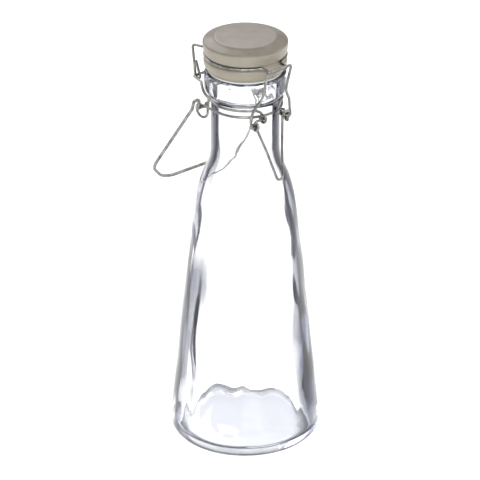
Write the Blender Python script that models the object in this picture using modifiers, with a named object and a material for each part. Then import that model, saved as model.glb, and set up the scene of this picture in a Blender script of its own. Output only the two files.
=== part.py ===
"""Clip-top glass juice bottle: a tapering clear bottle with a short neck, a glazed stopper lid on a
white seal, and bent steel wire for the lid's hinge, its latch and a carrying handle.

Metres, +Z up. The origin is on the bottle's axis, on the surface it stands on. The latch is at the
front (-Y), and the lid's hinge and the handle are at the back (+Y). Every wire pivot runs along X.
"""

import math

import bpy
from mathutils import Quaternion, Vector

# Glass, outside
RIM_HEIGHT = 0.261
HEEL_RADIUS = 0.0502
HEEL_HEIGHT = 0.007
FOOT_RADIUS = 0.0455
SHOULDER_HEIGHT = 0.150
SHOULDER_RADIUS = 0.0354
NECK_RADIUS = 0.0226
NECK_LENGTH = 0.0525
COLLAR_RADIUS = 0.0268
COLLAR_HEIGHT = 0.0195
RIM_ROUND = 0.0016

# Glass, inside
WALL = 0.005
FLOOR_THICKNESS = 0.0055
FLOOR_CROWN = 0.0025
FLOOR_RADIUS = 0.038
MOUTH_RADIUS = 0.0208

# Lid and seal
LID_RADIUS = 0.0277
SKIRT_RADIUS = 0.0272
SKIRT_HEIGHT = 0.0077
SKIRT_FOOT_RADIUS = 0.0247
GROOVE_RADIUS = 0.0252
GROOVE_WIDTH = 0.004
DISC_HEIGHT = 0.0081
CROWN_RADIUS = 0.0196
CROWN_HEIGHT = 0.0022
PLUG_RADIUS = 0.0172
PLUG_DEPTH = 0.0072
SEAL_THICKNESS = 0.0014
SEAL_OUTER = 0.0241
SEAL_PLAY = 0.0004

# Wire and its fits. The handle is bent from thicker wire than the clip
WIRE = 0.0018
HANDLE_WIRE = 0.0022
GAP = 0.0003
PIN_PLAY = 0.00035
HINGE_PLAY = 0.0007
COIL_PITCH = 0.0021
PIN_BEND_RADIUS = 0.0012
BAR_BEND_RADIUS = 0.0021

# Hinge wire: the latch eyes at the front, the ring, and the climb to the hinge bar
HINGE_WIRE_DROP = 0.0183
HINGE_WIRE_STAND_OFF = 0.0005
HINGE_DROP = 0.008
HINGE_BEND_RADIUS = 0.0014
LATCH_EYE_X = 0.0071
LATCH_EYE_REACH = 0.0033
LATCH_EYE_DROP = 0.0047

# Neck wire: the ring under the hinge wire, and the handle loops
NECK_WIRE_DROP = 0.0229
LOOP_X = 0.0242
LOOP_BACK = 0.0163
LOOP_RADIUS = 0.0047
LOOP_BACK_RISE = 0.0022

# Lid wire: the tongue at the front and the two legs down to the hinge
TONGUE_HALF_WIDTH = 0.0072
TONGUE_REACH = 0.0055
TONGUE_DROP = 0.0008
LEG_X = 0.0168
LEG_BACK = 0.0052
LEG_LEAVES_AT = 0.013
LEG_TAIL_RISE = 0.0095

# Latch lever and link
LEVER_DROP = 0.005
LEVER_INSET = 0.0015
LEVER_COIL_X = 0.0141
LEVER_PIN_END = 0.0052
LEVER_TIP_REACH = 0.0078
LEVER_TIP_DROP = 0.0424
LEVER_TIP_ROUND = 0.0024
LEVER_ARM_BEND = 0.03
LINK_X = 0.0164
LINK_TOP_HALF_WIDTH = 0.0097
LINK_PIN_END = 0.0106
LINK_SEAT_ANGLE = math.radians(60)

# Carrying handle, with its own lean from the vertical in the stored position
HANDLE_X = 0.0306
HANDLE_INNER_X = 0.0266
HANDLE_ARCH_RISE = 0.005
HANDLE_KINK = math.radians(13)
HANDLE_LEAN = math.radians(29.4)
HANDLE_OFFSET = 0.0008
HANDLE_WIDE_X = 0.042
HANDLE_LENGTH = 0.0742
HANDLE_FOOT_RISE = 0.0188
HANDLE_FOOT_INSET = 0.0159
HANDLE_WIDE_RADIUS = 0.012
HANDLE_BEND_RADIUS = 0.024
HANDLE_PIN_END = 0.0198
HANDLE_TAIL = 0.0024

TURN_STEPS = 44
BEND_STEPS = 4
COIL_STEPS = 10

NAME = "clip_top_juice_bottle"
for old in list(bpy.data.objects):
    bpy.data.objects.remove(old, do_unlink=True)
collection = bpy.data.collections.new(NAME)
bpy.context.scene.collection.children.link(collection)


def material(name, color, roughness, metallic=0.0, transmission=0.0):
    made = bpy.data.materials.new(name)
    made.use_nodes = True
    shader = made.node_tree.nodes["Principled BSDF"]
    shader.inputs["Base Color"].default_value = (*color, 1.0)
    shader.inputs["Roughness"].default_value = roughness
    shader.inputs["Metallic"].default_value = metallic
    shader.inputs["Transmission Weight"].default_value = transmission
    made.diffuse_color = (*color, 0.35 if transmission else 1.0)
    return made


CLEAR_GLASS = material("clear_glass", (0.95, 0.97, 0.98), 0.03, transmission=1.0)
GLAZED_CERAMIC = material("glazed_ceramic", (0.45, 0.40, 0.34), 0.22)
WHITE_SILICONE = material("white_silicone", (0.86, 0.86, 0.84), 0.55)
STEEL_WIRE = material("steel_wire", (0.55, 0.54, 0.51), 0.3, metallic=1.0)


def pivot(name, place):
    """An empty on a joint's axis, which carries the pieces that turn about it."""
    empty = bpy.data.objects.new(name, None)
    empty.empty_display_size = 0.01
    empty.location = place
    collection.objects.link(empty)
    return empty


def add(name, data, finish, carrier=None):
    data.materials.append(finish)
    piece = bpy.data.objects.new(name, data)
    collection.objects.link(piece)
    if carrier:
        piece.parent = carrier
        piece.location = -carrier.location
    return piece


def turned(name, profile, finish, steps=TURN_STEPS, closed=False, carrier=None):
    """A solid turned about Z from (radius, height) points that run down its outer side."""
    mesh = bpy.data.meshes.new(name)
    links = [(i, i + 1) for i in range(len(profile) - 1)]
    if closed:
        links.append((len(profile) - 1, 0))
    mesh.from_pydata([(radius, 0, height) for radius, height in profile], links, [])
    piece = add(name, mesh, finish, carrier)
    screw = piece.modifiers.new("turn", "SCREW")
    screw.steps = steps
    screw.render_steps = steps
    screw.use_merge_vertices = True
    screw.merge_threshold = 0.00001
    screw.use_smooth_shade = True
    return piece


def wire(name, points, carrier=None, closed=False, thickness=WIRE):
    """A length of round steel wire along the points."""
    curve = bpy.data.curves.new(name, "CURVE")
    curve.dimensions = "3D"
    curve.bevel_depth = thickness / 2
    curve.bevel_resolution = 2
    curve.use_fill_caps = not closed
    spline = curve.splines.new("POLY")
    spline.points.add(len(points) - 1)
    for spot, point in zip(spline.points, points):
        spot.co = (*point, 1.0)
    spline.use_cyclic_u = closed
    spline.use_smooth = True
    return add(name, curve, STEEL_WIRE, carrier)


def at(x, forward, height):
    """A point by its distance to the side, towards the front, and up."""
    return Vector((x, -forward, height))


def mirrored(points):
    """The same points on the other side of the bottle, in the opposite order."""
    return [Vector((-x, y, z)) for x, y, z in reversed(points)]


def bezier(start, start_handle, end_handle, end, steps):
    """(radius, height) points of a curve, without its first point."""
    points = []
    for i in range(1, steps + 1):
        t = i / steps
        weights = ((1 - t) ** 3, 3 * t * (1 - t) ** 2, 3 * t * t * (1 - t), t**3)
        corners = (start, start_handle, end_handle, end)
        points.append(tuple(sum(w * p[k] for w, p in zip(weights, corners)) for k in (0, 1)))
    return points


def bent(corners, steps=BEND_STEPS):
    """A wire's path through (point, bend radius) corners, with each bend as an arc."""
    path = [corners[0][0]]
    for (before, _), (point, radius), (after, _) in zip(corners, corners[1:], corners[2:]):
        back = (before - point).normalized()
        on = (after - point).normalized()
        half = back.angle(on) / 2
        middle = point + (back + on).normalized() * radius / math.sin(half)
        first = point + back * radius / math.tan(half) - middle
        axis = back.cross(on).normalized()
        for i in range(steps + 1):
            turn = Quaternion(axis, -(math.pi - 2 * half) * i / steps)
            path.append(middle + turn @ first)
    path.append(corners[-1][0])
    return path


def coil(centre, x_from, x_to, start, sweep, radius, steps=COIL_STEPS):
    """Turns about an X axis through centre, a (forward, height) pair. Angles are from the front, up."""
    count = max(2, round(steps * abs(sweep) / (2 * math.pi)))
    points = []
    for i in range(count + 1):
        angle = start + sweep * i / count
        forward = centre[0] + radius * math.cos(angle)
        height = centre[1] + radius * math.sin(angle)
        points.append(at(x_from + (x_to - x_from) * i / count, forward, height))
    return points


def smooth(points, steps=3):
    """A smooth curve through the points (Catmull-Rom)."""
    ends = [2 * points[0] - points[1], *points, 2 * points[-1] - points[-2]]
    path = [points[0]]
    for a, b, c, d in zip(ends, ends[1:], ends[2:], ends[3:]):
        for i in range(1, steps + 1):
            t = i / steps
            rise = (2 * a - 5 * b + 4 * c - d) * t**2 + (3 * b - a - 3 * c + d) * t**3
            path.append(0.5 * (2 * b + (c - a) * t + rise))
    return path


def glass_outside():
    """The bottle's outer outline from the rim down to its flat foot."""
    neck_foot = RIM_HEIGHT - NECK_LENGTH
    collar_foot = RIM_HEIGHT - COLLAR_HEIGHT
    collar_top = collar_foot + 0.46 * COLLAR_HEIGHT
    shoulder = neck_foot - SHOULDER_HEIGHT
    taper = (HEEL_RADIUS - SHOULDER_RADIUS) / (SHOULDER_HEIGHT - HEEL_HEIGHT)
    points = [(COLLAR_RADIUS - 1.2 * RIM_ROUND, RIM_HEIGHT)]
    points += [(COLLAR_RADIUS - 0.35 * RIM_ROUND, RIM_HEIGHT - 0.4 * RIM_ROUND)]
    points += [(COLLAR_RADIUS, RIM_HEIGHT - 1.3 * RIM_ROUND), (COLLAR_RADIUS, collar_top)]
    flare = COLLAR_RADIUS - NECK_RADIUS
    points += bezier(
        (COLLAR_RADIUS, collar_top),
        (COLLAR_RADIUS - 0.14 * flare, collar_top - 0.21 * COLLAR_HEIGHT),
        (NECK_RADIUS, collar_foot + 0.21 * COLLAR_HEIGHT),
        (NECK_RADIUS, collar_foot),
        6,
    )
    points.append((NECK_RADIUS, neck_foot))
    points += bezier(
        (NECK_RADIUS, neck_foot),
        (NECK_RADIUS + 0.08 * (SHOULDER_RADIUS - NECK_RADIUS), neck_foot - 0.36 * shoulder),
        (SHOULDER_RADIUS - taper * 0.84 * shoulder, SHOULDER_HEIGHT + 0.84 * shoulder),
        (SHOULDER_RADIUS, SHOULDER_HEIGHT),
        8,
    )
    points.append((HEEL_RADIUS, HEEL_HEIGHT))
    points += bezier(
        (HEEL_RADIUS, HEEL_HEIGHT),
        (HEEL_RADIUS + taper * 0.5 * HEEL_HEIGHT, 0.45 * HEEL_HEIGHT),
        (FOOT_RADIUS + 0.6 * (HEEL_RADIUS - FOOT_RADIUS), 0.0),
        (FOOT_RADIUS, 0.0),
        5,
    )
    return points


OUTSIDE = glass_outside()


def glass_radius(height):
    """The glass's outer radius at a height."""
    for (upper_r, upper_z), (lower_r, lower_z) in zip(OUTSIDE, OUTSIDE[1:]):
        if upper_z > lower_z and lower_z <= height <= upper_z:
            return lower_r + (upper_r - lower_r) * (height - lower_z) / (upper_z - lower_z)
    return HEEL_RADIUS


def glass_bottle():
    """The bottle as one wall: its inside runs up from the floor, and its outside down to the foot."""
    heel_inside = 2.2 * FLOOR_THICKNESS
    inside = [(0.0, FLOOR_THICKNESS + FLOOR_CROWN)]
    inside += [(0.5 * FLOOR_RADIUS, FLOOR_THICKNESS + 0.7 * FLOOR_CROWN)]
    inside += bezier(
        (FLOOR_RADIUS, FLOOR_THICKNESS),
        (FOOT_RADIUS - 0.4 * WALL, FLOOR_THICKNESS),
        (glass_radius(heel_inside) - WALL, 0.7 * heel_inside),
        (glass_radius(heel_inside) - WALL, heel_inside),
        4,
    )
    neck_foot = RIM_HEIGHT - NECK_LENGTH
    for radius, height in reversed(OUTSIDE):
        if heel_inside < height <= neck_foot:
            inside.append((radius - WALL, height))
    mouth_foot = RIM_HEIGHT - 0.7 * COLLAR_HEIGHT
    inside += [(NECK_RADIUS - WALL, RIM_HEIGHT - COLLAR_HEIGHT), (MOUTH_RADIUS, mouth_foot)]
    inside += [(MOUTH_RADIUS, RIM_HEIGHT - 0.6 * RIM_ROUND), (MOUTH_RADIUS + 0.6 * RIM_ROUND, RIM_HEIGHT)]
    turned("glass_bottle", inside + OUTSIDE + [(0.0, 0.0)], CLEAR_GLASS)


LID_FOOT = RIM_HEIGHT + GAP + SEAL_THICKNESS + GAP
GROOVE_FOOT = LID_FOOT + SKIRT_HEIGHT
DISC_FOOT = GROOVE_FOOT + GROOVE_WIDTH
DISC_TOP = DISC_FOOT + DISC_HEIGHT
LID_TOP = DISC_TOP + CROWN_HEIGHT
LID_WIRE_HEIGHT = GROOVE_FOOT + 0.5 * GROOVE_WIDTH
LID_WIRE_RADIUS = GROOVE_RADIUS + GAP + WIRE / 2

HINGE = (-(COLLAR_RADIUS + GAP + WIRE / 2), RIM_HEIGHT - HINGE_DROP)
HINGE_WIRE_HEIGHT = RIM_HEIGHT - HINGE_WIRE_DROP
HINGE_WIRE_RADIUS = glass_radius(HINGE_WIRE_HEIGHT) + GAP + WIRE / 2
EYE_RADIUS = WIRE + PIN_PLAY
LATCH = (HINGE_WIRE_RADIUS + LATCH_EYE_REACH, HINGE_WIRE_HEIGHT - LATCH_EYE_DROP)
LEVER_JOINT = (LATCH[0] - LEVER_INSET, LATCH[1] - LEVER_DROP)
TONGUE = (LID_RADIUS + TONGUE_REACH, LID_WIRE_HEIGHT - TONGUE_DROP)
LINK_SEAT = (
    TONGUE[0] + (WIRE + GAP) * math.cos(LINK_SEAT_ANGLE),
    TONGUE[1] + (WIRE + GAP) * math.sin(LINK_SEAT_ANGLE),
)
NECK_WIRE_HEIGHT = RIM_HEIGHT - NECK_WIRE_DROP
NECK_WIRE_RADIUS = glass_radius(NECK_WIRE_HEIGHT) + GAP + WIRE / 2
LOOP = (-LOOP_BACK, NECK_WIRE_HEIGHT - LOOP_RADIUS)
HANDLE = (-LOOP_BACK, NECK_WIRE_HEIGHT - (WIRE + HANDLE_WIRE) / 2 - GAP)


def stopper_lid(carrier):
    """The lid: a crowned disc, the groove for its wire, a skirt, and the plug in the bottle's mouth."""
    edge = LID_RADIUS - CROWN_RADIUS
    profile = [(0.0, LID_TOP), (0.97 * CROWN_RADIUS, LID_TOP)]
    profile += [(CROWN_RADIUS + 0.05 * edge, LID_TOP - 0.12 * CROWN_HEIGHT)]
    profile += [(CROWN_RADIUS + 0.14 * edge, LID_TOP - 0.45 * CROWN_HEIGHT)]
    profile += bezier(
        (CROWN_RADIUS + 0.82 * edge, DISC_TOP + 0.02 * DISC_HEIGHT),
        (LID_RADIUS - 0.05 * edge, DISC_TOP - 0.03 * DISC_HEIGHT),
        (LID_RADIUS, DISC_TOP - 0.1 * DISC_HEIGHT),
        (LID_RADIUS, DISC_TOP - 0.24 * DISC_HEIGHT),
        4,
    )
    lip = LID_RADIUS - GROOVE_RADIUS
    profile += [(LID_RADIUS - 0.3 * lip, DISC_FOOT + 0.16 * DISC_HEIGHT)]
    profile += [(LID_RADIUS - 0.6 * lip, DISC_FOOT), (GROOVE_RADIUS, DISC_FOOT - 0.1 * GROOVE_WIDTH)]
    profile += [(GROOVE_RADIUS, GROOVE_FOOT + 0.16 * GROOVE_WIDTH), (GROOVE_RADIUS + 0.5 * lip, GROOVE_FOOT)]
    profile += bezier(
        (SKIRT_RADIUS, GROOVE_FOOT - 0.1 * SKIRT_HEIGHT),
        (SKIRT_RADIUS + 0.08 * lip, GROOVE_FOOT - 0.4 * SKIRT_HEIGHT),
        (SKIRT_RADIUS - 0.4 * lip, LID_FOOT + 0.25 * SKIRT_HEIGHT),
        (SKIRT_FOOT_RADIUS, LID_FOOT),
        5,
    )
    profile += [(PLUG_RADIUS, LID_FOOT), (0.985 * PLUG_RADIUS, LID_FOOT - 0.4 * PLUG_DEPTH)]
    profile += [(0.9 * PLUG_RADIUS, LID_FOOT - 0.9 * PLUG_DEPTH), (0.84 * PLUG_RADIUS, LID_FOOT - PLUG_DEPTH)]
    profile.append((0.0, LID_FOOT - PLUG_DEPTH))
    turned("stopper_lid", profile, GLAZED_CERAMIC, carrier=carrier)


def seal_ring(carrier):
    """The flat seal round the plug, between the lid's underside and the rim."""
    foot = RIM_HEIGHT + GAP
    top = foot + SEAL_THICKNESS
    bulge = 0.2 * SEAL_THICKNESS
    inner = PLUG_RADIUS + SEAL_PLAY
    profile = [(inner, top), (SEAL_OUTER - bulge, top), (SEAL_OUTER, top - bulge)]
    profile += [(SEAL_OUTER, foot + bulge), (SEAL_OUTER - bulge, foot), (inner, foot)]
    turned("seal_ring", profile, WHITE_SILICONE, steps=36, closed=True, carrier=carrier)


def ring_arc(radius, height, start, end, steps):
    """Points round the bottle's axis. Angles are from the front, towards the right side."""
    points = []
    for i in range(steps + 1):
        angle = start + (end - start) * i / steps
        points.append(at(radius * math.sin(angle), radius * math.cos(angle), height))
    return points


def neck_wire():
    """The closed lower wire: level round the front, a loop for the handle, and higher round the back."""
    level_until = math.radians(84)
    back_from = math.radians(126)
    back_height = NECK_WIRE_HEIGHT + LOOP_BACK_RISE
    front = ring_arc(NECK_WIRE_RADIUS, NECK_WIRE_HEIGHT, 0.0, level_until, 9)
    run = smooth(
        [
            front[-1],
            at(0.5 * (NECK_WIRE_RADIUS + LOOP_X), 0.5 * (LOOP[0] - front[-1].y), NECK_WIRE_HEIGHT),
            at(LOOP_X, *LOOP) + Vector((0.0, 0.0, LOOP_RADIUS)),
        ],
    )
    loop = coil(LOOP, LOOP_X, LOOP_X - COIL_PITCH, math.radians(90), math.radians(270), LOOP_RADIUS, 16)
    back = ring_arc(NECK_WIRE_RADIUS, back_height, back_from, math.pi, 7)
    climb = loop[-1].lerp(back[0], 0.45)
    climb.z = NECK_WIRE_HEIGHT - 0.2 * LOOP_BACK_RISE
    half = front + run[1:-1] + loop + smooth([loop[-1], climb, back[0]])[1:-1] + back
    wire("neck_wire", half[:-1] + mirrored(half)[:-1], closed=True)


def hinge_wire():
    """One wire: a latch eye, half the ring, the climb up the collar to the hinge bar, then its mirror."""
    side = LATCH_EYE_X
    low = HINGE_WIRE_HEIGHT
    high = HINGE[1]
    top_of_eye = LATCH[1] + EYE_RADIUS
    eye = coil(LATCH, side + COIL_PITCH, side, math.radians(60), math.radians(390), EYE_RADIUS)
    lead = [
        eye[-1],
        at(side, LATCH[0] - 0.9 * EYE_RADIUS, top_of_eye),
        at(side + 0.2 * WIRE, HINGE_WIRE_RADIUS - GAP, 0.5 * (top_of_eye + low)),
        at(side + 1.2 * WIRE, 0.94 * HINGE_WIRE_RADIUS, low - GAP),
    ]
    level_from = math.radians(28)
    level_until = math.radians(80)
    climb_until = math.radians(128)
    half = eye[:-1] + smooth(lead, 2) + ring_arc(HINGE_WIRE_RADIUS, low, level_from, level_until, 8)
    for i in range(1, 7):
        part = i / 6
        eased = 3 * part**2 - 2 * part**3
        angle = level_until + (climb_until - level_until) * part
        height = low + (high - low) * eased
        radius = glass_radius(height) + GAP + WIRE / 2 + HINGE_WIRE_STAND_OFF * min(1.0, 3 * part)
        half.append(at(radius * math.sin(angle), radius * math.cos(angle), height))
    corner = [
        (half[-1], 0),
        (at(LEG_X + WIRE + HINGE_BEND_RADIUS, HINGE[0], high), HINGE_BEND_RADIUS),
        (at(LEG_X - WIRE, HINGE[0], high), 0),
    ]
    half += bent(corner)[1:]
    wire("hinge_wire", half + mirrored(half))


def lid_wire(carrier):
    """The wire in the lid's groove: a squared tongue at the front, and two legs hooked on the hinge bar."""
    eye = WIRE + HINGE_PLAY
    leaves = math.asin(TONGUE_HALF_WIDTH / LID_WIRE_RADIUS)
    turns_back = math.pi - math.asin(LEG_LEAVES_AT / LID_WIRE_RADIUS)
    tongue = bent(
        [
            (at(0.0, *TONGUE), 0),
            (at(TONGUE_HALF_WIDTH, *TONGUE), BAR_BEND_RADIUS),
            (at(TONGUE_HALF_WIDTH, LID_WIRE_RADIUS * math.cos(leaves) + PIN_BEND_RADIUS, LID_WIRE_HEIGHT), 0),
        ]
    )
    ring = ring_arc(LID_WIRE_RADIUS, LID_WIRE_HEIGHT, leaves + math.radians(4), turns_back, 14)
    shoulder = at(LEG_X, HINGE[0] - LEG_BACK, LID_WIRE_HEIGHT)
    leg = bent(
        [
            (ring[-1], 0),
            (shoulder, BAR_BEND_RADIUS),
            (at(LEG_X, HINGE[0] - eye, HINGE[1]), 0),
        ]
    )
    hook = coil(HINGE, LEG_X, LEG_X, math.radians(180), math.radians(165), eye, 14)
    tail = at(LEG_X, HINGE[0] - 0.7 * eye, HINGE[1] + LEG_TAIL_RISE)
    half = tongue + ring + leg[1:-1] + hook + [tail]
    wire("lid_wire", mirrored(half)[:-1] + half, carrier)


def latch_lever(carrier):
    """The thumb lever: pins in the neck wire's eyes, a coil round each link end, and a narrow V."""
    top = math.radians(90)
    pins = bent(
        [
            (at(LEVER_PIN_END, *LATCH), 0),
            (at(LEVER_COIL_X, *LATCH), PIN_BEND_RADIUS),
            (at(LEVER_COIL_X, LEVER_JOINT[0] + 0.1 * EYE_RADIUS, LEVER_JOINT[1] + EYE_RADIUS), 0),
        ]
    )
    inner_x = LEVER_COIL_X - 1.25 * COIL_PITCH
    turns = coil(LEVER_JOINT, LEVER_COIL_X, inner_x, top, 5 * top, EYE_RADIUS)
    tip = (LATCH[0] + LEVER_TIP_REACH, LATCH[1] - LEVER_TIP_DROP)
    start = turns[-1]
    slope = (tip[0] + start.y) / (start.z - tip[1])
    middle_drop = 0.5 * (start.z - tip[1])
    arm = [
        (start, 0),
        (at(0.55 * start.x, -start.y + slope * middle_drop, start.z - middle_drop), LEVER_ARM_BEND),
        (at(0.9 * LEVER_TIP_ROUND, tip[0], tip[1]), 0.9 * LEVER_TIP_ROUND),
        (at(0.0, tip[0], tip[1]), 0),
    ]
    half = pins[:-1] + turns + bent(arm)[1:]
    wire("latch_lever", half[:-1] + mirrored(half), carrier)


def latch_link(carrier):
    """The link: a bar over the lid's tongue, two bowed legs, and ends turned in through the lever."""
    foot = LEVER_JOINT
    rise = LINK_SEAT[1] - foot[1]
    lean = LINK_SEAT[0] - foot[0]
    top = bent(
        [
            (at(0.0, *LINK_SEAT), 0),
            (at(LINK_TOP_HALF_WIDTH, *LINK_SEAT), BAR_BEND_RADIUS),
            (at(LINK_TOP_HALF_WIDTH, foot[0] + 0.55 * lean, foot[1] + 0.68 * rise), 0),
        ]
    )
    bow = LINK_X - LINK_TOP_HALF_WIDTH
    leg = smooth(
        [
            top[-1],
            at(LINK_TOP_HALF_WIDTH + 0.08 * bow, foot[0] + 0.34 * lean, foot[1] + 0.5 * rise),
            at(LINK_TOP_HALF_WIDTH + 0.75 * bow, foot[0] + 0.06 * lean, foot[1] + 0.31 * rise),
            at(LINK_X, foot[0] - 0.1 * lean, foot[1] + 0.15 * rise),
            at(LINK_X, foot[0] - 0.02 * lean, foot[1] + 0.05 * rise),
        ]
    )
    end = bent([(leg[-1], 0), (at(LINK_X, *foot), PIN_BEND_RADIUS), (at(LINK_PIN_END, *foot), 0)])
    half = top[:-1] + leg + end[1:]
    wire("latch_link", mirrored(half)[:-1] + half, carrier)


def along_handle(x, down, out=0.0):
    """A point by its distance down the leaning handle from its pin, and out from the pin's line. What
    rises above the pin stands more upright."""
    if down < 0:
        out -= down * math.sin(HANDLE_KINK)
    forward = HANDLE[0] - down * math.sin(HANDLE_LEAN) - out * math.cos(HANDLE_LEAN)
    height = HANDLE[1] - down * math.cos(HANDLE_LEAN) + out * math.sin(HANDLE_LEAN)
    return at(x, forward, height)


def carry_handle(carrier):
    """The bail handle: a pin through each neck wire loop, an arch over it, and a wide flared bow."""
    pin = [
        (along_handle(HANDLE_PIN_END, -HANDLE_TAIL), 0),
        (along_handle(HANDLE_PIN_END, 0.0), PIN_BEND_RADIUS),
        (along_handle(HANDLE_INNER_X, 0.0), PIN_BEND_RADIUS),
        (along_handle(HANDLE_INNER_X, -HANDLE_ARCH_RISE), 0),
    ]
    path = bent(pin)
    arch = (HANDLE_X - HANDLE_INNER_X) / 2
    steps = 8
    for i in range(1, steps + 1):
        angle = math.pi * (1 - i / steps)
        x = HANDLE_INNER_X + arch + arch * math.cos(angle)
        path.append(along_handle(x, -HANDLE_ARCH_RISE - arch * math.sin(angle), HANDLE_OFFSET * i / steps))
    wide_at = HANDLE_LENGTH - HANDLE_FOOT_RISE
    bow = [
        (path[-1], 0),
        (along_handle(HANDLE_X, 0.0, HANDLE_OFFSET), HANDLE_WIDE_RADIUS),
        (along_handle(HANDLE_WIDE_X, wide_at, HANDLE_OFFSET), HANDLE_WIDE_RADIUS),
        (along_handle(HANDLE_WIDE_X - HANDLE_FOOT_INSET, HANDLE_LENGTH, HANDLE_OFFSET), HANDLE_BEND_RADIUS),
        (along_handle(0.0, HANDLE_LENGTH, HANDLE_OFFSET), 0),
    ]
    path += bent(bow, 7)[1:]
    wire("carry_handle", path[:-1] + mirrored(path), carrier, thickness=HANDLE_WIRE)


glass_bottle()
neck_wire()
hinge_wire()
lid_pivot = pivot("lid_pivot", at(0.0, *HINGE))
stopper_lid(lid_pivot)
seal_ring(lid_pivot)
lid_wire(lid_pivot)
latch_lever(pivot("lever_pivot", at(0.0, *LATCH)))
latch_link(pivot("link_pivot", at(0.0, *LEVER_JOINT)))
carry_handle(pivot("handle_pivot", at(0.0, *HANDLE)))
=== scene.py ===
"""The looks of the clip-top glass juice bottle: rippled clear glass, a glazed stopper lid with its
seal, and drawn steel wire, on a white floor. Metres, +Z up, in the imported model's own frame. The
latch is at the front (-Y), and the lid's hinge and the handle are at the back (+Y).
"""

import math

import bpy
import numpy as np
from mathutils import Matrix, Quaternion, Vector, noise


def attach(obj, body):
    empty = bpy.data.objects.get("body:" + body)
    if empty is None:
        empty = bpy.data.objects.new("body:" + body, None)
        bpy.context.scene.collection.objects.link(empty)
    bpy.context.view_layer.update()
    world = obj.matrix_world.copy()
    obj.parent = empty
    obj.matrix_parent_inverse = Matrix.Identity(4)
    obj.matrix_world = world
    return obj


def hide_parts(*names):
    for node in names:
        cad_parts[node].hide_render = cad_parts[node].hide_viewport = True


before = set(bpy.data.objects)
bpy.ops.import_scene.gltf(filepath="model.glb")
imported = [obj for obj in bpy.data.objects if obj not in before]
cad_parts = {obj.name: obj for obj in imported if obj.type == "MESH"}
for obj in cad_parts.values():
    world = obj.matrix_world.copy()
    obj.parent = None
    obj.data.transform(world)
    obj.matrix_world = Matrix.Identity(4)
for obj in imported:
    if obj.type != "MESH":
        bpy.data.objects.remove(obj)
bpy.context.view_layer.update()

# The glass's outline
RIM_HEIGHT = 0.261
HEEL_RADIUS = 0.0502
HEEL_HEIGHT = 0.007
FOOT_RADIUS = 0.0455
SHOULDER_HEIGHT = 0.150
SHOULDER_RADIUS = 0.0354
NECK_RADIUS = 0.0226
NECK_LENGTH = 0.0525
COLLAR_RADIUS = 0.0268
COLLAR_HEIGHT = 0.0195
RIM_ROUND = 0.0016
WALL = 0.005
FLOOR_THICKNESS = 0.0036
FLOOR_CROWN = 0.0025
FLOOR_RADIUS = 0.038
MOUTH_RADIUS = 0.0208

# The glass's soft dents, its uneven mouth and its pushed-up foot, which only the looks have. Each layer
# of dents has its share, its cells per radian and per metre of height, and its lean in radians per metre.
GLASS_SEGMENTS = 224
GLASS_RING_PITCH = 0.0016
RIPPLE_OUTSIDE = 0.00045
RIPPLE_INSIDE = 0.0008
RIPPLE_INSIDE_SEED = 5.0
RIPPLE_LAYERS = ((1.5, 2.3, 26.0, 2.2), (0.7, 4.6, 44.0, 0.0))
RIPPLE_TOP = 0.190
RIPPLE_TOP_FADE = 0.02
RIPPLE_FOOT = 0.004
RIPPLE_FOOT_FADE = 0.012
MOUTH_WAVES = 0.0009
MOUTH_WAVES_CELLS = (3.2, 90.0)
MOUTH_WAVES_END = 0.9
MOUTH_WAVES_FOOT_FADE = 0.3
MOUTH_WAVES_TOP_FADE = 0.2
FLOOR_ZONE = 0.012
PUSH_UP = 0.0016
FOOT_RING = 0.0385

# The lid and its seal
LID_RADIUS = 0.0277
SKIRT_RADIUS = 0.0272
SKIRT_HEIGHT = 0.0077
SKIRT_FOOT_RADIUS = 0.0247
GROOVE_RADIUS = 0.0252
GROOVE_WIDTH = 0.004
DISC_HEIGHT = 0.0081
CROWN_RADIUS = 0.0196
CROWN_HEIGHT = 0.0022
PLUG_RADIUS = 0.0172
PLUG_DEPTH = 0.0072
PLUG_ROUND = 0.0005
SEAL_THICKNESS = 0.0014
SEAL_OUTER = 0.0241
SEAL_PLAY = 0.0004
LID_SEGMENTS = 160
LID_WAVES = 0.00008
LID_WAVES_CELLS = (1.4, 180.0)

# Wires, as in the model
WIRE = 0.0018
HANDLE_WIRE = 0.0022
GAP = 0.0003
PIN_PLAY = 0.00035
HINGE_PLAY = 0.0007
COIL_PITCH = 0.0021
PIN_BEND_RADIUS = 0.0012
BAR_BEND_RADIUS = 0.0021
HINGE_WIRE_DROP = 0.0183
HINGE_WIRE_STAND_OFF = 0.0005
HINGE_DROP = 0.008
HINGE_BEND_RADIUS = 0.0014
LATCH_EYE_X = 0.0071
LATCH_EYE_REACH = 0.0033
LATCH_EYE_DROP = 0.0047
NECK_WIRE_DROP = 0.0229
LOOP_X = 0.0242
LOOP_BACK = 0.0163
LOOP_RADIUS = 0.0047
LOOP_BACK_RISE = 0.0022
TONGUE_HALF_WIDTH = 0.0072
TONGUE_REACH = 0.0055
TONGUE_DROP = 0.0008
LEG_X = 0.0168
LEG_BACK = 0.0052
LEG_LEAVES_AT = 0.013
LEG_TAIL_RISE = 0.0095
LEVER_DROP = 0.005
LEVER_INSET = 0.0015
LEVER_COIL_X = 0.0141
LEVER_PIN_END = 0.0052
LEVER_TIP_REACH = 0.0078
LEVER_TIP_DROP = 0.0424
LEVER_TIP_ROUND = 0.0024
LEVER_ARM_BEND = 0.03
LINK_X = 0.0164
LINK_TOP_HALF_WIDTH = 0.0097
LINK_PIN_END = 0.0106
LINK_SEAT_ANGLE = math.radians(60)
HANDLE_X = 0.0306
HANDLE_INNER_X = 0.0266
HANDLE_ARCH_RISE = 0.005
HANDLE_KINK = math.radians(13)
HANDLE_LEAN = math.radians(29.4)
HANDLE_OFFSET = 0.0008
HANDLE_WIDE_X = 0.042
HANDLE_LENGTH = 0.0742
HANDLE_FOOT_RISE = 0.0188
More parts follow.
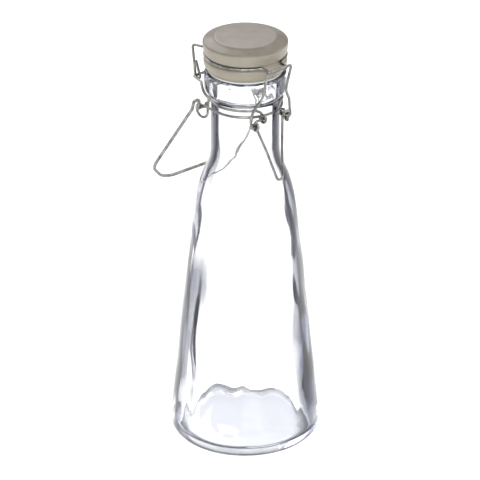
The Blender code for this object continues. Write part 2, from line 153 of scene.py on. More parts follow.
HANDLE_FOOT_INSET = 0.0159
HANDLE_WIDE_RADIUS = 0.012
HANDLE_BEND_RADIUS = 0.024
HANDLE_PIN_END = 0.0198
HANDLE_TAIL = 0.0024
BEND_STEPS = 9
COIL_STEPS = 26
WIRE_SIDES = 5

# Colours. A pair goes from the darker to the lighter patches.
GLASS_CLEAR = (0.978, 0.984, 0.995)
# The glass's painted edge shade
GLASS_PAINTED_EDGE_SHADE = (0.008, 0.0105, 0.038)
GLASS_SHADOW = (0.97, 0.975, 0.985)
GLAZE_COLOURS = ((0.265, 0.236, 0.186), (0.305, 0.274, 0.218))
SLOPE_COLOURS = ((0.135, 0.118, 0.092), (0.165, 0.146, 0.115))
CROWN_COLOURS = ((0.198, 0.172, 0.15), (0.228, 0.201, 0.177))
SEAL_COLOURS = ((0.80, 0.80, 0.77), (0.88, 0.88, 0.86))
STEEL_COLOURS = ((0.16, 0.155, 0.145), (0.34, 0.335, 0.315))
PAPER_COLOUR = (0.93, 0.93, 0.93)
WHITE = (1.0, 1.0, 1.0)

# Finishes. A noise texture has its cells per metre and its detail, a bump its height in metres, and a
# roughness of two numbers varies between them.
TEXTURE_MIDDLE = (0.3, 0.7)
GLASS_ROUGHNESS = 0.015
GLASS_IOR = 1.5
GLASS_WAVES = (70.0, 2.0)
GLASS_WAVES_STRETCH = (1, 1, 0.4)
GLASS_WAVES_BUMP = 0.00018
GLAZE_ROUGHNESS = (0.34, 0.46)
GLAZE_SPECULAR = 0.4
GLAZE_COAT = 0.12
GLAZE_COAT_ROUGHNESS = 0.12
GLAZE_CLOUDS = (120.0, 5.0)
GLAZE_SWELL = (160.0, 2.0)
GLAZE_SWELL_BUMP = 0.00012
GLAZE_GRAIN = (900.0, 3.0)
GLAZE_GRAIN_BUMP = 0.00001
CROWN_EDGE = (0.0009, -0.0003)
SLOPE_EDGE = (-0.22, -0.02)
SEAL_ROUGHNESS = 0.5
SEAL_SCATTER = 0.3
SEAL_SCATTER_RADIUS = (0.002, 0.002, 0.0018)
SEAL_GRAIN = (700.0, 3.0)
SEAL_GRAIN_BUMP = 0.00002
STEEL_ROUGHNESS = (0.22, 0.42)
STEEL_FILM = (260.0, 6.0)
STEEL_FILM_EDGE = (0.35, 0.65)
STEEL_STREAKS = (2600.0, 2.0)
STEEL_STREAKS_BUMP = 0.000012
PAPER_ROUGHNESS = 0.9

# Painted shade: the glass's colour goes dark where it turns edge on, for the dark streaks of its refraction:
# stops over how far it has turned, which noise moves, and stops over the noise that breaks the band into
# patches
PAINTED_EDGE_SHADE_BAND = ((0.38, 0.0), (0.43, 0.8), (0.60, 1.0), (0.78, 0.95), (0.88, 0.2))
PAINTED_EDGE_SHADE_WANDER = 0.6
PAINTED_EDGE_SHADE_WANDER_NOISE = (22.0, 1.5)
PAINTED_EDGE_SHADE_WANDER_STRETCH = (1, 1, 0.5)
PAINTED_EDGE_SHADE_PATCHES = ((0.38, 0.12), (0.42, 0.5), (0.46, 0.75), (0.50, 1.0))
PAINTED_EDGE_SHADE_PATCHES_NOISE = (20.0, 1.0)
PAINTED_EDGE_SHADE_PATCHES_STRETCH = (1, 1, 0.6)
PAINTED_EDGE_SHADE_PATCHES_PLACE = (0.0, 0.3, 0.6)

# Light paths: their depths are whole numbers, which half a step tells apart. Light that runs inside the
# glass's wall has crossed its surface twice, and light past the longest path goes straight on.
HALF_STEP = 0.5
IN_WALL_CROSSINGS = 2
LONGEST_PATH = 5

# The photograph's camera, in degrees, metres and millimetres of lens
CAMERA_AZIMUTH = -40.0
CAMERA_ELEVATION = 27.0
CAMERA_DISTANCE = 2.27
CAMERA_LENS = 257.7
CAMERA_SENSOR = 36.0
CAMERA_REACH = 20.0
CAMERA_TARGET = (-0.0026, 0.0023, 0.1379)

# The studio: each sky stop is the upward part of the direction, and its colour
FLOOR_SIZE = 12.0
SKY_STRENGTH = 1.0
SKY_STOPS = (
    (0.00, (1.00, 1.00, 1.00)),
    (0.04, (1.00, 1.00, 1.00)),
    (0.08, (0.25, 0.26, 0.30)),
    (0.30, (0.25, 0.26, 0.30)),
    (0.55, (1.00, 1.00, 1.00)),
)
LIGHTS = (
    ("key", (-0.9, -1.1, 1.6), 1.2, 24.0),
    ("fill", (1.4, -0.6, 1.1), 1.0, 8.0),
    ("back", (0.2, 1.6, 1.5), 1.6, 20.0),
)

# Painted dark cards round the studio, which are no objects: a dark colour of the floor and the sky that only
# light run round inside the glass's wall sees, for painted dark streaks in the glass. Stops over a quarter
# turn, the first card's place, and how far noise moves their edges, as angles
PAINTED_CARD_SHADES = (
    (0.00, (0.85, 0.86, 0.95)),
    (0.05, (0.10, 0.105, 0.15)),
    (0.20, (0.03, 0.03, 0.055)),
    (0.52, (0.05, 0.05, 0.085)),
    (0.62, (0.25, 0.26, 0.34)),
    (0.72, (0.85, 0.86, 0.95)),
)
PAINTED_CARD_PITCH = math.radians(90)
PAINTED_CARD_AZIMUTH = math.radians(40)
PAINTED_CARD_START = math.radians(5)
PAINTED_CARD_UNEVEN = 0.8
PAINTED_CARD_NOISE_DETAIL = 1.0
FLOOR_NOISE_SCALE = 7.0
SKY_NOISE_SCALE = 3.0

# The floor under the foot, which the lights don't reach, glows with painted light: pale inside, and dark at
# the foot's edge for a painted contact shadow. Stops over the foot's radius. The floor lies just below the
# foot, so that the two don't meet in one plane.
FOOT_PAINTED_GLOW_AND_SHADOW = (
    (0.00, (1.03, 1.04, 1.10)),
    (0.80, (0.98, 0.99, 1.06)),
    (0.90, (0.30, 0.31, 0.35)),
    (1.00, (0.10, 0.10, 0.12)),
)
FLOOR_DROP = 0.0003

# Sockets of Blender's Mix node when it mixes colours
MIX_FACTOR = 0
MIX_FIRST_COLOUR = 6
MIX_SECOND_COLOUR = 7
MIX_COLOUR = 2


def material(slot, roughness, metallic=0.0):
    """A node material for a slot of the record, and its shader with its even values on the sockets."""
    made = bpy.data.materials.new(f"{slot}_finish")
    made["slot"] = slot
    made.use_nodes = True
    shader = made.node_tree.nodes["Principled BSDF"]
    shader.inputs["Roughness"].default_value = roughness
    shader.inputs["Metallic"].default_value = metallic
    return made, shader


def noise_texture(made, scale, detail, stretch=(1, 1, 1), moved=(0, 0, 0)):
    """Noise in the object's own coordinates, in cells per metre."""
    nodes = made.node_tree.nodes
    links = made.node_tree.links
    place = nodes.new("ShaderNodeTexCoord")
    stretched = nodes.new("ShaderNodeMapping")
    stretched.inputs["Scale"].default_value = stretch
    stretched.inputs["Location"].default_value = moved
    node = nodes.new("ShaderNodeTexNoise")
    node.inputs["Scale"].default_value = scale
    node.inputs["Detail"].default_value = detail
    links.new(place.outputs["Object"], stretched.inputs["Vector"])
    links.new(stretched.outputs["Vector"], node.inputs["Vector"])
    return node.outputs[0]


def ramp(made, value, stops):
    """A colour ramp from the value, through (position, colour) stops. A single number is a grey."""
    node = made.node_tree.nodes.new("ShaderNodeValToRGB")
    made.node_tree.links.new(value, node.inputs["Fac"])
    while len(node.color_ramp.elements) < len(stops):
        node.color_ramp.elements.new(1.0)
    for element, (position, colour) in zip(node.color_ramp.elements, stops):
        shade = (colour,) * 3 if isinstance(colour, float) else colour
        element.position = position
        element.color = (*shade, 1.0)
    return node.outputs["Color"]


def mottled(made, value, colours, edge=TEXTURE_MIDDLE):
    """A pair of colours, which a texture's middle range turns from the first to the second."""
    return ramp(made, value, list(zip(edge, colours)))


def ranged(made, value, start, end, low=0.0, high=1.0, kind="LINEAR"):
    """A value that runs from low to high as the other goes from start to end."""
    node = made.node_tree.nodes.new("ShaderNodeMapRange")
    node.interpolation_type = kind
    for name, limit in (("From Min", start), ("From Max", end), ("To Min", low), ("To Max", high)):
        node.inputs[name].default_value = limit
    made.node_tree.links.new(value, node.inputs["Value"])
    return node.outputs["Result"]


def math_node(made, operation, *values):
    """A sum of sockets and plain numbers."""
    node = made.node_tree.nodes.new("ShaderNodeMath")
    node.operation = operation
    for place, value in enumerate(values):
        if isinstance(value, (int, float)):
            node.inputs[place].default_value = value
        else:
            made.node_tree.links.new(value, node.inputs[place])
    return node.outputs["Value"]


def mixed(made, factor, first, second):
    """A colour between the first and the second, each of them a socket or a plain colour."""
    node = made.node_tree.nodes.new("ShaderNodeMix")
    node.data_type = "RGBA"
    made.node_tree.links.new(factor, node.inputs[MIX_FACTOR])
    for place, colour in ((MIX_FIRST_COLOUR, first), (MIX_SECOND_COLOUR, second)):
        if isinstance(colour, tuple):
            node.inputs[place].default_value = (*colour, 1.0)
        else:
            made.node_tree.links.new(colour, node.inputs[place])
    return node.outputs[MIX_COLOUR]


def surface(made, factor, first, second):
    """Gives the material the first shader, and the second where the factor is one."""
    nodes = made.node_tree.nodes
    links = made.node_tree.links
    node = nodes.new("ShaderNodeMixShader")
    for place, socket in enumerate((factor, first, second)):
        links.new(socket, node.inputs[place])
    links.new(node.outputs["Shader"], nodes["Material Output"].inputs["Surface"])


def position(made):
    """The height above the object's origin, and the distance from its upright axis."""
    nodes = made.node_tree.nodes
    links = made.node_tree.links
    place = nodes.new("ShaderNodeTexCoord")
    split = nodes.new("ShaderNodeSeparateXYZ")
    level = nodes.new("ShaderNodeCombineXYZ")
    reach = nodes.new("ShaderNodeVectorMath")
    reach.operation = "LENGTH"
    links.new(place.outputs["Object"], split.inputs["Vector"])
    for side in ("X", "Y"):
        links.new(split.outputs[side], level.inputs[side])
    links.new(level.outputs["Vector"], reach.inputs[0])
    return split.outputs["Z"], reach.outputs["Value"]


def bump(made, shader, value, height, normal=None):
    """Raises the surface by up to that height in metres. Bumps chain through normal."""
    node = made.node_tree.nodes.new("ShaderNodeBump")
    node.inputs["Strength"].default_value = 1.0
    node.inputs["Distance"].default_value = height
    links = made.node_tree.links
    links.new(value, node.inputs["Height"])
    if normal:
        links.new(normal, node.inputs["Normal"])
    links.new(node.outputs["Normal"], shader.inputs["Normal"])
    return node.outputs["Normal"]


def clear_glass():
    """Pressed soda-lime glass: clear with a cold tint, softly waved, and with a painted shade in patches
    where it turns edge on. It is open to shadow rays, and to light that has gone past the longest path."""
    made, shader = material("clear_glass", GLASS_ROUGHNESS)
    shader.inputs["Transmission Weight"].default_value = 1.0
    shader.inputs["IOR"].default_value = GLASS_IOR
    waves = noise_texture(made, *GLASS_WAVES, GLASS_WAVES_STRETCH)
    bump(made, shader, waves, GLASS_WAVES_BUMP)
    nodes = made.node_tree.nodes
    path = nodes.new("ShaderNodeLightPath")
    # Painted shade: darker glass colour where the surface turns edge on, in patches, for light that first
    # comes in
    turned_away = nodes.new("ShaderNodeLayerWeight")
    turned_away.inputs["Blend"].default_value = 0.5
    wander = noise_texture(made, *PAINTED_EDGE_SHADE_WANDER_NOISE, PAINTED_EDGE_SHADE_WANDER_STRETCH)
    centred = math_node(made, "SUBTRACT", turned_away.outputs["Facing"], 0.5 * PAINTED_EDGE_SHADE_WANDER)
    edge = math_node(made, "MULTIPLY_ADD", wander, PAINTED_EDGE_SHADE_WANDER, centred)
    clouds = noise_texture(made, *PAINTED_EDGE_SHADE_PATCHES_NOISE, PAINTED_EDGE_SHADE_PATCHES_STRETCH, PAINTED_EDGE_SHADE_PATCHES_PLACE)
    painted_edge_shade = math_node(made, "MULTIPLY", ramp(made, edge, PAINTED_EDGE_SHADE_BAND), ramp(made, clouds, PAINTED_EDGE_SHADE_PATCHES))
    entering = math_node(made, "LESS_THAN", path.outputs["Transmission Depth"], HALF_STEP)
    colour = mixed(made, math_node(made, "MULTIPLY", painted_edge_shade, entering), GLASS_CLEAR, GLASS_PAINTED_EDGE_SHADE)
    made.node_tree.links.new(colour, shader.inputs["Base Color"])
    straight_on = nodes.new("ShaderNodeBsdfTransparent")
    straight_on.inputs["Color"].default_value = (*GLASS_SHADOW, 1.0)
    too_long = math_node(made, "GREATER_THAN", path.outputs["Ray Depth"], LONGEST_PATH)
    either = math_node(made, "MAXIMUM", path.outputs["Is Shadow Ray"], too_long)
    surface(made, either, shader.outputs["BSDF"], straight_on.outputs["BSDF"])
    return made


def glazed_ceramic():
    """A warm grey glaze, darker on the disc's slope and paler on its flat crown."""
    made, shader = material("glazed_ceramic", GLAZE_ROUGHNESS[0])
    links = made.node_tree.links
    height, reach = position(made)
    on_top = math_node(made, "GREATER_THAN", height, LID_TOP - 0.6 * CROWN_HEIGHT)
    crown_from, crown_to = (CROWN_RADIUS + edge for edge in CROWN_EDGE)
    slope_from, slope_to = (DISC_TOP + edge * DISC_HEIGHT for edge in SLOPE_EDGE)
    inside = ranged(made, reach, crown_from, crown_to, kind="SMOOTHSTEP")
    slope = ranged(made, height, slope_from, slope_to, kind="SMOOTHSTEP")
    clouds = noise_texture(made, *GLAZE_CLOUDS)
    colours = [mottled(made, clouds, pair) for pair in (GLAZE_COLOURS, SLOPE_COLOURS, CROWN_COLOURS)]
    glaze = mixed(made, slope, colours[0], colours[1])
    glaze = mixed(made, math_node(made, "MULTIPLY", on_top, inside), glaze, colours[2])
    links.new(glaze, shader.inputs["Base Color"])
    grain = noise_texture(made, *GLAZE_GRAIN)
    links.new(ranged(made, grain, *TEXTURE_MIDDLE, *GLAZE_ROUGHNESS), shader.inputs["Roughness"])
    shader.inputs["Specular IOR Level"].default_value = GLAZE_SPECULAR
    shader.inputs["Coat Weight"].default_value = GLAZE_COAT
    shader.inputs["Coat Roughness"].default_value = GLAZE_COAT_ROUGHNESS
    swell = bump(made, shader, noise_texture(made, *GLAZE_SWELL), GLAZE_SWELL_BUMP)
    bump(made, shader, grain, GLAZE_GRAIN_BUMP, swell)
    return made


def white_silicone():
    """Milky soft silicone with a fine grain."""
    made, shader = material("white_silicone", SEAL_ROUGHNESS)
    shader.inputs["Subsurface Weight"].default_value = SEAL_SCATTER
    shader.inputs["Subsurface Radius"].default_value = SEAL_SCATTER_RADIUS
    grain = noise_texture(made, *SEAL_GRAIN)
    made.node_tree.links.new(mottled(made, grain, SEAL_COLOURS), shader.inputs["Base Color"])
    bump(made, shader, grain, SEAL_GRAIN_BUMP)
    return made


def steel_wire():
    """Drawn steel: fine streaks, and a duller zinc film in patches."""
    made, shader = material("steel_wire", STEEL_ROUGHNESS[0], metallic=1.0)
    links = made.node_tree.links
    film = mottled(made, noise_texture(made, *STEEL_FILM), STEEL_COLOURS, STEEL_FILM_EDGE)
    links.new(film, shader.inputs["Base Color"])
    streaks = noise_texture(made, *STEEL_STREAKS)
    links.new(ranged(made, streaks, *TEXTURE_MIDDLE, *STEEL_ROUGHNESS), shader.inputs["Roughness"])
    bump(made, shader, streaks, STEEL_STREAKS_BUMP)
    return made


def add(name, data, finish, body, node):
    """A piece that stands for a model node, rides on its body and has the finish's slot."""
    data.materials.append(finish)
    piece = bpy.data.objects.new(name, data)
    bpy.context.scene.collection.objects.link(piece)
    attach(piece, body)
    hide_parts(node)
    return piece


def at(x, forward, height):
    """A point by its distance to the side, towards the front, and up."""
    return Vector((x, -forward, height))


def mirrored(points):
    """The same points on the other side of the bottle, in the opposite order."""
    return [Vector((-x, y, z)) for x, y, z in reversed(points)]


def bezier(start, start_handle, end_handle, end, steps):
    """(radius, height) points of a curve, without its first point."""
    points = []
    for i in range(1, steps + 1):
        t = i / steps
        weights = ((1 - t) ** 3, 3 * t * (1 - t) ** 2, 3 * t * t * (1 - t), t**3)
        corners = (start, start_handle, end_handle, end)
        points.append(tuple(sum(w * p[k] for w, p in zip(weights, corners)) for k in (0, 1)))
    return points


def bent(corners, steps=BEND_STEPS):
    """A wire's path through (point, bend radius) corners, with each bend as an arc."""
    path = [corners[0][0]]
    for (before, _), (point, radius), (after, _) in zip(corners, corners[1:], corners[2:]):
        back = (before - point).normalized()
        on = (after - point).normalized()
        half = back.angle(on) / 2
        middle = point + (back + on).normalized() * radius / math.sin(half)
        first = point + back * radius / math.tan(half) - middle
        axis = back.cross(on).normalized()
        for i in range(steps + 1):
            turn = Quaternion(axis, -(math.pi - 2 * half) * i / steps)
            path.append(middle + turn @ first)
    path.append(corners[-1][0])
    return path


def coil(centre, x_from, x_to, start, sweep, radius):
    """Turns about an X axis through centre, a (forward, height) pair. Angles are from the front, up."""
    count = max(2, round(COIL_STEPS * abs(sweep) / (2 * math.pi)))
    points = []
    for i in range(count + 1):
        angle = start + sweep * i / count
        forward = centre[0] + radius * math.cos(angle)
        height = centre[1] + radius * math.sin(angle)
        points.append(at(x_from + (x_to - x_from) * i / count, forward, height))
    return points


def smooth(points, steps=8):
    """A smooth curve through the points (Catmull-Rom)."""
    ends = [2 * points[0] - points[1], *points, 2 * points[-1] - points[-2]]
    path = [points[0]]
    for a, b, c, d in zip(ends, ends[1:], ends[2:], ends[3:]):
        for i in range(1, steps + 1):
            t = i / steps
            rise = (2 * a - 5 * b + 4 * c - d) * t**2 + (3 * b - a - 3 * c + d) * t**3
            path.append(0.5 * (2 * b + (c - a) * t + rise))
    return path


def ring_arc(radius, height, start, end, steps):
    """Points round the bottle's axis. Angles are from the front, towards the right side."""
    points = []
    for i in range(steps + 1):
        angle = start + (end - start) * i / steps
        points.append(at(radius * math.sin(angle), radius * math.cos(angle), height))
    return points


def resampled(points, pitch):
    """(radius, height) points at an even pitch along the same outline, with its corners kept."""
    even = [points[0]]
    for (r0, z0), (r1, z1) in zip(points, points[1:]):
        count = max(1, round(math.hypot(r1 - r0, z1 - z0) / pitch))
        for i in range(1, count + 1):
            even.append((r0 + (r1 - r0) * i / count, z0 + (z1 - z0) * i / count))
    return even


def turned(name, profile, segments, shift, finish, body, node):
    """A solid turned about Z. The profile runs up the inside, or starts on the axis, and ends as the
    outside comes down to the axis. shift moves each point in or out, by its angle, height and place."""
    closed = profile[0][0] > 0
    rows = profile if closed else profile[1:-1]
    angles = np.linspace(0, 2 * math.pi, segments, endpoint=False)
    points = []
    for place, (radius, height) in enumerate(rows):
        for angle in angles:
            r = radius + shift(angle, height, radius, place)
            points.append((r * math.sin(angle), -r * math.cos(angle), height))
    faces = []
    links = list(zip(range(len(rows) - 1), range(1, len(rows))))
    if closed:
        links.append((len(rows) - 1, 0))
    for upper, lower in links:
        for i in range(segments):
            j = (i + 1) % segments
            corners = ((upper, i), (lower, i), (lower, j), (upper, j))
            faces.append(tuple(row * segments + column for row, column in corners))
    if not closed:
        first = len(points)
        points += [(0, 0, profile[0][1]), (0, 0, profile[-1][1])]
        last_row = (len(rows) - 1) * segments
        for i in range(segments):
            j = (i + 1) % segments
            faces.append((first, i, j))
            faces.append((first + 1, last_row + j, last_row + i))
    mesh = bpy.data.meshes.new(name)
    mesh.from_pydata(points, [], faces)
    mesh.shade_smooth()
    return add(name, mesh, finish, body, node)


def wire(name, points, finish, body, node, closed=False, thickness=WIRE):
    """A length of round steel wire along the points, as a curve with a round section."""
    curve = bpy.data.curves.new(name, "CURVE")
    curve.dimensions = "3D"
    curve.bevel_depth = thickness / 2
    curve.bevel_resolution = WIRE_SIDES
    curve.use_fill_caps = not closed
    spline = curve.splines.new("POLY")
    spline.points.add(len(points) - 1)
    for spot, point in zip(spline.points, points):
        spot.co = (*point, 1.0)
    spline.use_cyclic_u = closed
    spline.use_smooth = True
    return add(name, curve, finish, body, node)


def glass_outside():
    """The bottle's outer outline from the rim down to its foot. The fractions place the curves' handles."""
    neck_foot = RIM_HEIGHT - NECK_LENGTH
    collar_foot = RIM_HEIGHT - COLLAR_HEIGHT
    collar_top = collar_foot + 0.46 * COLLAR_HEIGHT
    shoulder = neck_foot - SHOULDER_HEIGHT
    taper = (HEEL_RADIUS - SHOULDER_RADIUS) / (SHOULDER_HEIGHT - HEEL_HEIGHT)
    points = [(COLLAR_RADIUS - 1.2 * RIM_ROUND, RIM_HEIGHT)]
    points += bezier(
        points[0],
        (COLLAR_RADIUS - 0.4 * RIM_ROUND, RIM_HEIGHT),
        (COLLAR_RADIUS, RIM_HEIGHT - 0.5 * RIM_ROUND),
        (COLLAR_RADIUS, RIM_HEIGHT - 1.3 * RIM_ROUND),
        8,
    )
    points.append((COLLAR_RADIUS, collar_top))
    flare = COLLAR_RADIUS - NECK_RADIUS
    points += bezier(
        (COLLAR_RADIUS, collar_top),
        (COLLAR_RADIUS - 0.14 * flare, collar_top - 0.21 * COLLAR_HEIGHT),
        (NECK_RADIUS, collar_foot + 0.21 * COLLAR_HEIGHT),
        (NECK_RADIUS, collar_foot),
        18,
    )
    points.append((NECK_RADIUS, neck_foot))
    points += bezier(
        (NECK_RADIUS, neck_foot),
        (NECK_RADIUS + 0.08 * (SHOULDER_RADIUS - NECK_RADIUS), neck_foot - 0.36 * shoulder),
        (SHOULDER_RADIUS - taper * 0.84 * shoulder, SHOULDER_HEIGHT + 0.84 * shoulder),
        (SHOULDER_RADIUS, SHOULDER_HEIGHT),
        36,
    )
    points.append((HEEL_RADIUS, HEEL_HEIGHT))
    points += bezier(
        (HEEL_RADIUS, HEEL_HEIGHT),
        (HEEL_RADIUS + taper * 0.5 * HEEL_HEIGHT, 0.45 * HEEL_HEIGHT),
        (FOOT_RADIUS + 0.6 * (HEEL_RADIUS - FOOT_RADIUS), 0.0),
        (FOOT_RADIUS, 0.0),
        14,
    )
    return points


OUTSIDE = glass_outside()


def glass_radius(height):
    """The glass's outer radius at a height."""
    for (upper_r, upper_z), (lower_r, lower_z) in zip(OUTSIDE, OUTSIDE[1:]):
        if upper_z > lower_z and lower_z <= height <= upper_z:
            return lower_r + (upper_r - lower_r) * (height - lower_z) / (upper_z - lower_z)
    return HEEL_RADIUS


def round_noise(angle, height, cells_round, cells_up, seed=0.0):
    """Smooth noise over a turned surface, with its cells per radian and per metre of height."""
    front, side = math.cos(angle) * cells_round, math.sin(angle) * cells_round
    return noise.noise(Vector((front, side, height * cells_up + seed)))


def ripple(angle, height, size, seed):
    """The pressed glass's long hammered dents, as a move in or out. They fade at the neck and the heel."""
    if height > RIPPLE_TOP or height < RIPPLE_FOOT:
        return 0.0
    fade = min(1.0, (RIPPLE_TOP - height) / RIPPLE_TOP_FADE, (height - RIPPLE_FOOT) / RIPPLE_FOOT_FADE)
    return size * fade * sum(
        share * round_noise(angle + lean * height, height, cells_round, cells_up, seed)
        for share, cells_round, cells_up, lean in RIPPLE_LAYERS
    )


def mouth_waves(angle, height):
    """Uneven glass inside the collar, as a move in or out. It fades towards the rim and the neck."""
    share = (height - RIM_HEIGHT + COLLAR_HEIGHT) / COLLAR_HEIGHT
    if not 0.0 < share < MOUTH_WAVES_END:
        return 0.0
    fade = min(1.0, share / MOUTH_WAVES_FOOT_FADE, (MOUTH_WAVES_END - share) / MOUTH_WAVES_TOP_FADE)
    return MOUTH_WAVES * fade * round_noise(angle, height, *MOUTH_WAVES_CELLS)


def glass_bottle(finish):
    """The bottle, thick at the foot, with soft dents in its wall and uneven glass inside the collar."""
    heel_inside = 2.2 * FLOOR_THICKNESS
    inside = [(0.0, FLOOR_THICKNESS + FLOOR_CROWN)]
    inside += [(0.5 * FLOOR_RADIUS, FLOOR_THICKNESS + 0.7 * FLOOR_CROWN)]
    inside += bezier(
        (FLOOR_RADIUS, FLOOR_THICKNESS),
        (FOOT_RADIUS - 0.4 * WALL, FLOOR_THICKNESS),
        (glass_radius(heel_inside) - WALL, 0.7 * heel_inside),
        (glass_radius(heel_inside) - WALL, heel_inside),
        12,
    )
    neck_foot = RIM_HEIGHT - NECK_LENGTH
    for radius, height in reversed(OUTSIDE):
        if heel_inside < height <= neck_foot:
            inside.append((radius - WALL, height))
    collar_foot = RIM_HEIGHT - COLLAR_HEIGHT
    mouth_foot = RIM_HEIGHT - 0.7 * COLLAR_HEIGHT
    inside.append((NECK_RADIUS - WALL, collar_foot))
    inside += bezier(
        (NECK_RADIUS - WALL, collar_foot),
        (NECK_RADIUS - WALL, 0.5 * (collar_foot + mouth_foot)),
        (MOUTH_RADIUS, 0.5 * (collar_foot + mouth_foot)),
        (MOUTH_RADIUS, mouth_foot),
        6,
    )
    inside.append((MOUTH_RADIUS, RIM_HEIGHT - 0.6 * RIM_ROUND))
    inside += bezier(
        inside[-1],
        (MOUTH_RADIUS, RIM_HEIGHT - 0.2 * RIM_ROUND),
        (MOUTH_RADIUS + 0.2 * RIM_ROUND, RIM_HEIGHT),
        (MOUTH_RADIUS + 0.6 * RIM_ROUND, RIM_HEIGHT),
        5,
    )
    inside = resampled(inside, GLASS_RING_PITCH)
    outside = resampled(OUTSIDE, GLASS_RING_PITCH)
    underside = [(FOOT_RING, 0.0), (0.93 * FOOT_RING, 0.5 * PUSH_UP), (0.6 * FOOT_RING, 0.95 * PUSH_UP)]
    profile = inside + outside + underside + [(0.0, PUSH_UP)]
    outside_starts = len(inside)

    def shift(angle, height, radius, place):
        # The profile's first point is on the axis, so rows are counted from its second
        if place + 1 >= outside_starts:
            return ripple(angle, height, RIPPLE_OUTSIDE, 0.0)
        if radius > FLOOR_RADIUS or height > FLOOR_ZONE:
            return ripple(angle, height, RIPPLE_INSIDE, RIPPLE_INSIDE_SEED) + mouth_waves(angle, height)
        return 0.0

    turned("glass_bottle_rippled", profile, GLASS_SEGMENTS, shift, finish, "bottle", "glass_bottle")


LID_FOOT = RIM_HEIGHT + GAP + SEAL_THICKNESS + GAP
GROOVE_FOOT = LID_FOOT + SKIRT_HEIGHT
DISC_FOOT = GROOVE_FOOT + GROOVE_WIDTH
DISC_TOP = DISC_FOOT + DISC_HEIGHT
LID_TOP = DISC_TOP + CROWN_HEIGHT
LID_WIRE_HEIGHT = GROOVE_FOOT + 0.5 * GROOVE_WIDTH
LID_WIRE_RADIUS = GROOVE_RADIUS + GAP + WIRE / 2

HINGE = (-(COLLAR_RADIUS + GAP + WIRE / 2), RIM_HEIGHT - HINGE_DROP)
HINGE_WIRE_HEIGHT = RIM_HEIGHT - HINGE_WIRE_DROP
HINGE_WIRE_RADIUS = glass_radius(HINGE_WIRE_HEIGHT) + GAP + WIRE / 2
EYE_RADIUS = WIRE + PIN_PLAY
LATCH = (HINGE_WIRE_RADIUS + LATCH_EYE_REACH, HINGE_WIRE_HEIGHT - LATCH_EYE_DROP)
LEVER_JOINT = (LATCH[0] - LEVER_INSET, LATCH[1] - LEVER_DROP)
TONGUE = (LID_RADIUS + TONGUE_REACH, LID_WIRE_HEIGHT - TONGUE_DROP)
LINK_SEAT = (
    TONGUE[0] + (WIRE + GAP) * math.cos(LINK_SEAT_ANGLE),
    TONGUE[1] + (WIRE + GAP) * math.sin(LINK_SEAT_ANGLE),
)
NECK_WIRE_HEIGHT = RIM_HEIGHT - NECK_WIRE_DROP
NECK_WIRE_RADIUS = glass_radius(NECK_WIRE_HEIGHT) + GAP + WIRE / 2
LOOP = (-LOOP_BACK, NECK_WIRE_HEIGHT - LOOP_RADIUS)
HANDLE = (-LOOP_BACK, NECK_WIRE_HEIGHT - (WIRE + HANDLE_WIRE) / 2 - GAP)


def stopper_lid(finish):
    """The lid: a crowned disc, the groove for its wire, a skirt, and the plug in the bottle's mouth. The
    fractions place the curves' handles."""
    edge = LID_RADIUS - CROWN_RADIUS
    lip = LID_RADIUS - GROOVE_RADIUS
    profile = [(0.0, LID_TOP), (0.98 * CROWN_RADIUS, LID_TOP)]
    profile += bezier(
        profile[-1],
        (CROWN_RADIUS + 0.06 * edge, LID_TOP),
        (CROWN_RADIUS + 0.12 * edge, LID_TOP - 0.3 * CROWN_HEIGHT),
        (CROWN_RADIUS + 0.2 * edge, LID_TOP - 0.5 * CROWN_HEIGHT),
        6,
    )
    profile += bezier(
        (CROWN_RADIUS + 0.82 * edge, DISC_TOP + 0.02 * DISC_HEIGHT),
        (LID_RADIUS - 0.05 * edge, DISC_TOP - 0.03 * DISC_HEIGHT),
        (LID_RADIUS, DISC_TOP - 0.1 * DISC_HEIGHT),
        (LID_RADIUS, DISC_TOP - 0.24 * DISC_HEIGHT),
        14,
    )
    profile += bezier(
        (LID_RADIUS - 0.12 * lip, DISC_FOOT + 0.42 * DISC_HEIGHT),
        (LID_RADIUS - 0.24 * lip, DISC_FOOT + 0.1 * DISC_HEIGHT),
        (LID_RADIUS - 0.36 * lip, DISC_FOOT - 0.1 * GROOVE_WIDTH),
        (LID_RADIUS - 0.6 * lip, DISC_FOOT - 0.14 * GROOVE_WIDTH),
        8,
    )
    profile += bezier(
        (GROOVE_RADIUS + 0.2 * lip, DISC_FOOT - 0.18 * GROOVE_WIDTH),
        (GROOVE_RADIUS, DISC_FOOT - 0.3 * GROOVE_WIDTH),
        (GROOVE_RADIUS, GROOVE_FOOT + 0.3 * GROOVE_WIDTH),
        (GROOVE_RADIUS + 0.3 * lip, GROOVE_FOOT + 0.02 * GROOVE_WIDTH),
        10,
    )
    profile += bezier(
        (SKIRT_RADIUS - 0.2 * lip, GROOVE_FOOT),
        (SKIRT_RADIUS + 0.2 * lip, GROOVE_FOOT - 0.3 * SKIRT_HEIGHT),
        (SKIRT_RADIUS - 0.2 * lip, LID_FOOT + 0.2 * SKIRT_HEIGHT),
        (SKIRT_FOOT_RADIUS, LID_FOOT),
        16,
    )
    profile += [(PLUG_RADIUS + PLUG_ROUND, LID_FOOT), (PLUG_RADIUS, LID_FOOT - PLUG_ROUND)]
    profile += [(0.985 * PLUG_RADIUS, LID_FOOT - 0.4 * PLUG_DEPTH)]
    profile += bezier(
        (0.95 * PLUG_RADIUS, LID_FOOT - 0.8 * PLUG_DEPTH),
        (0.93 * PLUG_RADIUS, LID_FOOT - 0.95 * PLUG_DEPTH),
        (0.90 * PLUG_RADIUS, LID_FOOT - PLUG_DEPTH),
        (0.84 * PLUG_RADIUS, LID_FOOT - PLUG_DEPTH),
        6,
    )
    profile.append((0.0, LID_FOOT - PLUG_DEPTH))

    def shift(angle, height, radius, place):
        return LID_WAVES * round_noise(angle, height, *LID_WAVES_CELLS)

    turned("stopper_lid_glazed", profile, LID_SEGMENTS, shift, finish, "lid", "stopper_lid")


